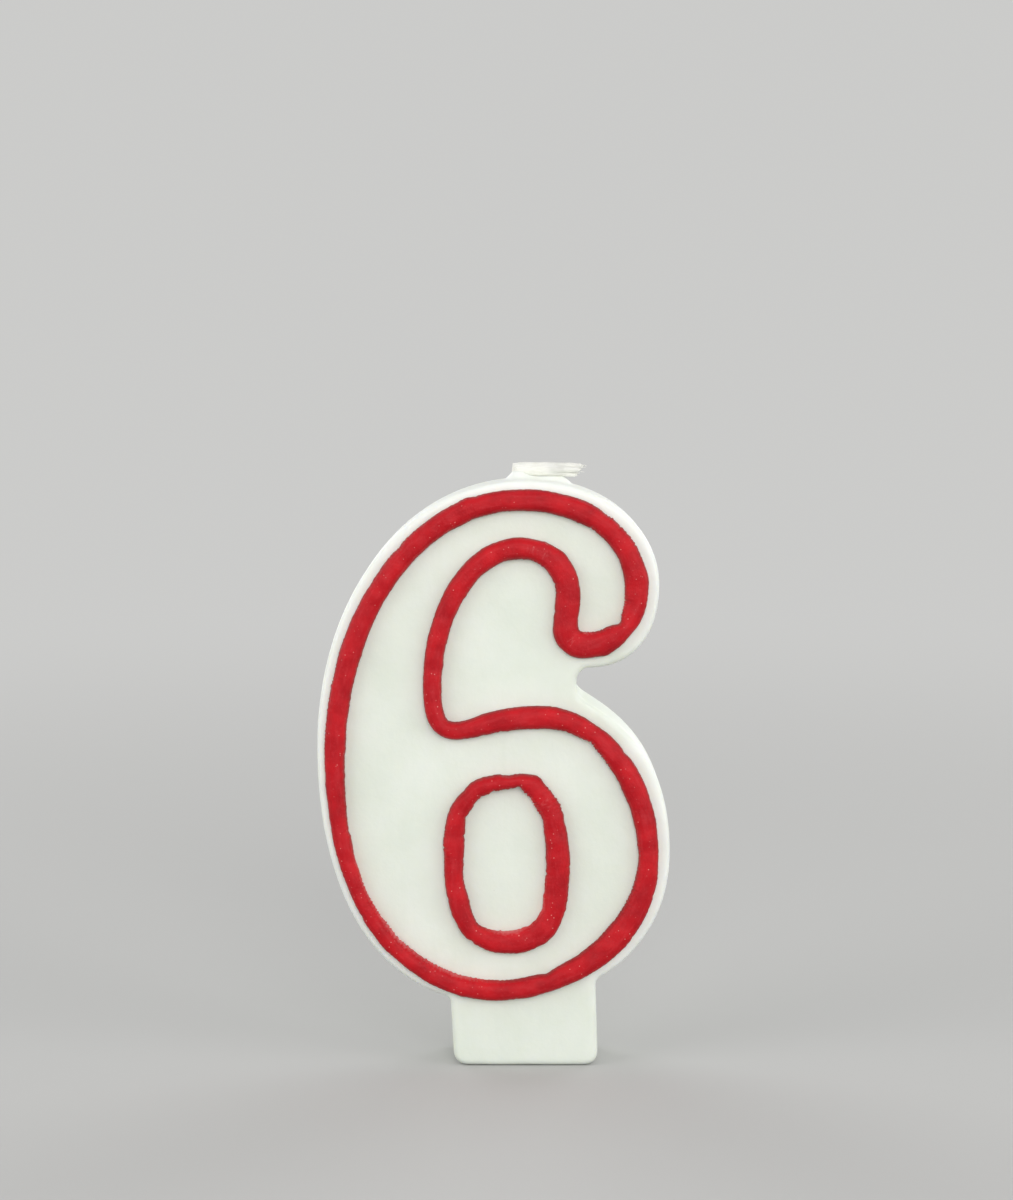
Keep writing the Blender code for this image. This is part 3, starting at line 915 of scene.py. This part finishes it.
def wickPlace(shape, way, high, deep):
    # way runs up the wick from its lower end, and the section's high side is the outside of the fold; in the
    # fold the section turns about its inner corner and reaches further towards the outer one, which makes it
    # square
    middle = wickRadius + shape["innerGap"]
    pivot = np.array((wickAxis + middle, wickTop - wickRadius - middle))
    rise = pivot[1] - wickLow.z / mm
    bend = middle * np.pi / 2
    turn = np.clip((way - rise) / bend, 0, 1) * np.pi / 2
    below = np.minimum(way - rise, 0)
    beyond = np.maximum(way - rise - bend, 0)
    reach = (middle + high) / np.maximum(np.cos(turn), np.sin(turn)) ** shape["square"]
    x = pivot[0] - reach * np.cos(turn) + beyond
    z = pivot[1] + reach * np.sin(turn) + below
    return np.stack(np.broadcast_arrays(x, deep, z), axis=-1), rise, bend


def closedTube(grid, first):
    # rings of points, right-handed about the way they run, with a fan of triangles over each end
    rows, columns = grid.shape[:2]
    points = np.concatenate([grid.reshape(-1, 3), grid[0].mean(axis=0)[None], grid[-1].mean(axis=0)[None]])
    j = np.arange(columns)
    jNext = (j + 1) % columns
    last = (rows - 1) * columns
    startFan = np.stack([np.full(columns, rows * columns), jNext, j], axis=1)
    endFan = np.stack([np.full(columns, rows * columns + 1), last + j, last + jNext], axis=1)
    return points, [gridFaces(rows, columns, False, True, first), first + startFan, first + endFan]


def yarn(start, end, bow, radii, sides):
    # a thin round tube from start to end that bows off the straight as the square of the way along
    t = np.linspace(0, 1, radii.size)[:, None]
    centres = start + (end - start) * t + bow * t**2
    angle = np.linspace(0, 2 * np.pi, sides, endpoint=False)
    ring = np.stack([np.zeros(sides), np.cos(angle), np.sin(angle)], axis=1)
    return centres[:, None, :] + ring * radii[:, None, None]


def pliedTube(shape):
    # the plies are lobes of one section, the size of a cosine round it, with grooves between them that open
    # towards the end of the tail, where the section is pinched in
    _, rise, bend = wickPlace(shape, np.zeros(1), 0.0, 0.0)
    end = rise + bend + shape["tail"]
    stops = (0, rise - shape["closeRun"], rise, rise + bend, end)
    runs = [np.linspace(*stops[i:i + 2], rows, endpoint=i == 3) for i, rows in enumerate(shape["rows"])]
    way = np.concatenate(runs)[:, None]
    angle = np.linspace(0, 2 * np.pi, shape["around"], endpoint=False)[None, :]
    lobes = np.abs(np.cos(0.5 * shape["plies"] * (angle - np.pi / 2)))
    opened = easeIn(way, *(end - np.array(shape["openRun"])))
    groove = shape["groove"] + (shape["openGroove"] - shape["groove"]) * opened
    width = wickRadius * (1 - groove * (1 - lobes) ** shape["grooveSharpness"])
    width = width * (1 - shape["pinch"] * easeIn(way, end - shape["pinchRun"], end))
    lumps = wander(angle[0] / (2 * np.pi), *shape["unevenWaves"]) * np.sin(way * shape["unevenTurn"])
    width = width * (1 - shape["uneven"] + shape["uneven"] * lumps)
    return wickPlace(shape, way, width * np.cos(angle), -width * np.sin(angle))[0]


def frayedEnd(shape, endX):
    # each ply goes on past the tail's end as a strand of its own, and loose fibres stand out round its tip
    chance = np.random.default_rng(shape["seed"])
    middleZ = wickTop - wickRadius
    thick, thin = shape["strandRadius"], shape["fibreRadius"]
    apart = wickRadius - thick - shape["strandInset"]
    highest = wickTop - thin
    taper = np.linspace(0, 1, shape["strandRows"])
    blunt = np.minimum(1, shape["bluntSlope"] * (1 - taper) + shape["bluntEnd"])
    strandRadii = thick * (1 - shape["strandTaper"] * taper**3) * blunt
    fibreRadii = thin * (1 - shape["fibreTaper"] * taper[::2])
    tubes = []
    for ply, reach in enumerate(shape["strandEnds"]):
        side = np.pi / 2 + 2 * np.pi * ply / shape["plies"]
        off = apart * np.array((0.0, -np.sin(side), np.cos(side)))
        start = np.array((endX - shape["openRun"][0], 0.0, middleZ)) + off
        finish = np.array((reach, 0.0, middleZ)) + off
        hang = shape["droop"] * np.clip(-off[2] / apart, 0, 1)
        bow = chance.normal(size=3) * (0.0, shape["strandSway"], 0.0)
        bow = bow + shape["strandSplay"] * off * (0, 1, 0) - (0, 0, hang)
        tubes.append(yarn(start, finish, bow, strandRadii, shape["strandSides"]))
        tip = finish + bow
        for _ in range(shape["fibres"] // shape["plies"]):
            spread = thick * shape["fibreSpread"] * chance.normal(size=3) * (0, 1, 1)
            root = tip + spread - (chance.uniform(*shape["fibreRoots"]), 0, 0)
            loose = tip + shape["fibreFlare"] * spread + (chance.uniform(*shape["fibreTips"]), 0, 0)
            root[2], loose[2] = min(root[2], highest), min(loose[2], highest)
            stray = chance.normal(size=3) * (0, shape["fibreSway"], 0)
            stray = stray - (0, 0, shape["fibreDroop"] * chance.uniform())
            tubes.append(yarn(root, loose, stray, fibreRadii, shape["fibreSides"]))
    return tubes


def wickSurface(shape):
    # the plied tube with its frayed end, as closed tubes in one mesh
    plied = pliedTube(shape)
    points, faces, count = [], [], 0
    for grid in (plied, *frayedEnd(shape, plied[-1, :, 0].mean())):
        made, skin = closedTube(grid, count)
        points.append(made)
        faces.extend(skin)
        count += len(made)
    points = np.concatenate(points)
    return points, faces, {"alongYarn": points[:, [1, 2, 0]] * mm}


points, faces, marks = wickSurface(wickShape)
makePiece("cottonWick", points, faces, cottonMaterial, "wick", marks)


# Stage: a pale floor that curves up into a wall all round, soft lamps and the camera

stageLook = {
    "hub": 0.02,
    "flat": 1.20,
    "bend": 0.60,
    "drop": 0.00003,
    "bendRows": 24,
    "around": 96,
    "floor": (0.54, 0.54, 0.53),
    "wall": (0.60, 0.60, 0.59),
    "wallStart": 0.12,
    "wallEnd": 0.55,
    "bounce": (0.34, 0.34, 0.333),
    "roughness": 0.9,
    "world": 0.54,
    "lampTarget": (0.0, 0.0, 0.036),
    "lamps": [  # name, place, size, power
        ("keyLamp", (0.15, -0.83, 0.33), 0.60, 3.15),
        ("leftLamp", (-0.80, -0.42, 0.28), 0.70, 3.3),
        ("rightLamp", (0.80, -0.42, 0.28), 0.70, 3.1),
        ("backLeftLamp", (-0.64, 0.82, 0.38), 0.80, 3.9),
        ("backRightLamp", (0.64, 0.82, 0.38), 0.80, 3.9),
    ],
}

cameraView = {
    "place": (-0.002395, -0.30357, 0.08753),
    "tilt": 84.4,
    "lens": 73.71,
    "nearest": 0.01,
}


def studioPaper(look):
    # the camera and reflections see the floor's colour, which fades into an even glow further out; the object
    # is lit by a darker bounce
    material, tree, shader = newMaterial("studioPaper")
    ray = addNode(tree, "LightPath").outputs
    shown = addNode(tree, "Math", {0: ray["Is Camera Ray"], 1: ray["Is Glossy Ray"]}, operation="MAXIMUM")
    shown = addNode(tree, "Math", {0: shown.outputs[0], 1: ray["Is Transmission Ray"]}, operation="MAXIMUM")
    place = addNode(tree, "TexCoord").outputs["Object"]
    wayOut = addNode(tree, "VectorMath", {0: place}, operation="LENGTH").outputs["Value"]
    far = addNode(tree, "MapRange", {
        "Value": wayOut, "From Min": look["wallStart"], "From Max": look["wallEnd"],
    }, interpolation_type="SMOOTHSTEP")
    seen = blendColours(tree, far.outputs[0], look["floor"], (0.0, 0.0, 0.0))
    paper = blendColours(tree, shown.outputs[0], look["bounce"], seen)
    glow = addNode(tree, "Math", {0: shown.outputs[0], 1: far.outputs[0]}, operation="MULTIPLY")
    tree.links.new(paper, shader["Base Color"])
    tree.links.new(glow.outputs[0], shader["Emission Strength"])
    shader["Emission Color"].default_value = (*look["wall"], 1.0)
    shader["Specular IOR Level"].default_value = 0.0
    shader["Roughness"].default_value = look["roughness"]
    return material


def studioBowl(look):
    # a profile turned about the upright axis: a flat floor, then a quarter of a circle up to an open rim
    arc = np.linspace(0, np.pi / 2, look["bendRows"])
    radius = np.concatenate([[look["hub"]], look["flat"] + look["bend"] * np.sin(arc)])
    height = np.concatenate([[0.0], look["bend"] * (1 - np.cos(arc))]) - look["drop"]
    angle = np.linspace(0, 2 * np.pi, look["around"], endpoint=False)[:, None]
    grid = np.stack(np.broadcast_arrays(radius * np.cos(angle), radius * np.sin(angle), height), axis=-1)
    rows, columns = grid.shape[:2]
    hub = (np.arange(rows)[::-1] * columns).tolist()
    faces = gridFaces(rows, columns, True, False)[:, ::-1].tolist()
    mesh = bpy.data.meshes.new("studioBowl")
    mesh.from_pydata(grid.reshape(-1, 3).tolist(), [], [*faces, hub])
    mesh.shade_smooth()
    mesh.materials.append(studioPaper(look))
    bowl = bpy.data.objects.new("studioBowl", mesh)
    bpy.context.scene.collection.objects.link(bowl)


def softLamp(name, place, size, power, target):
    data = bpy.data.lights.new(name, "AREA")
    data.shape = "DISK"
    data.size = size
    data.energy = power
    lamp = bpy.data.objects.new(name, data)
    lamp.location = place
    aim = np.array(target) - np.array(place)
    lamp.rotation_euler = (math.atan2(np.hypot(aim[0], aim[1]), -aim[2]), 0.0, math.atan2(-aim[0], aim[1]))
    lamp.visible_camera = False
    bpy.context.scene.collection.objects.link(lamp)


def paleWorld(strength):
    world = bpy.data.worlds.new("paleWorld")
    world.use_nodes = True
    background = world.node_tree.nodes["Background"].inputs
    background["Color"].default_value = (1.0, 1.0, 1.0, 1.0)
    background["Strength"].default_value = strength
    bpy.context.scene.world = world


def frontCamera(view):
    data = bpy.data.cameras.new("camera")
    data.lens = view["lens"]
    data.clip_start = view["nearest"]
    camera = bpy.data.objects.new("camera", data)
    camera.location = view["place"]
    camera.rotation_euler = (math.radians(view["tilt"]), 0.0, 0.0)
    bpy.context.scene.collection.objects.link(camera)
    bpy.context.scene.camera = camera


studioBowl(stageLook)
for lampName, lampPlace, lampSize, lampPower in stageLook["lamps"]:
    softLamp(lampName, lampPlace, lampSize, lampPower, stageLook["lampTarget"])
paleWorld(stageLook["world"])
frontCamera(cameraView)
bpy.context.scene.view_settings.view_transform = "Standard"
print("stage, lamps and camera made")
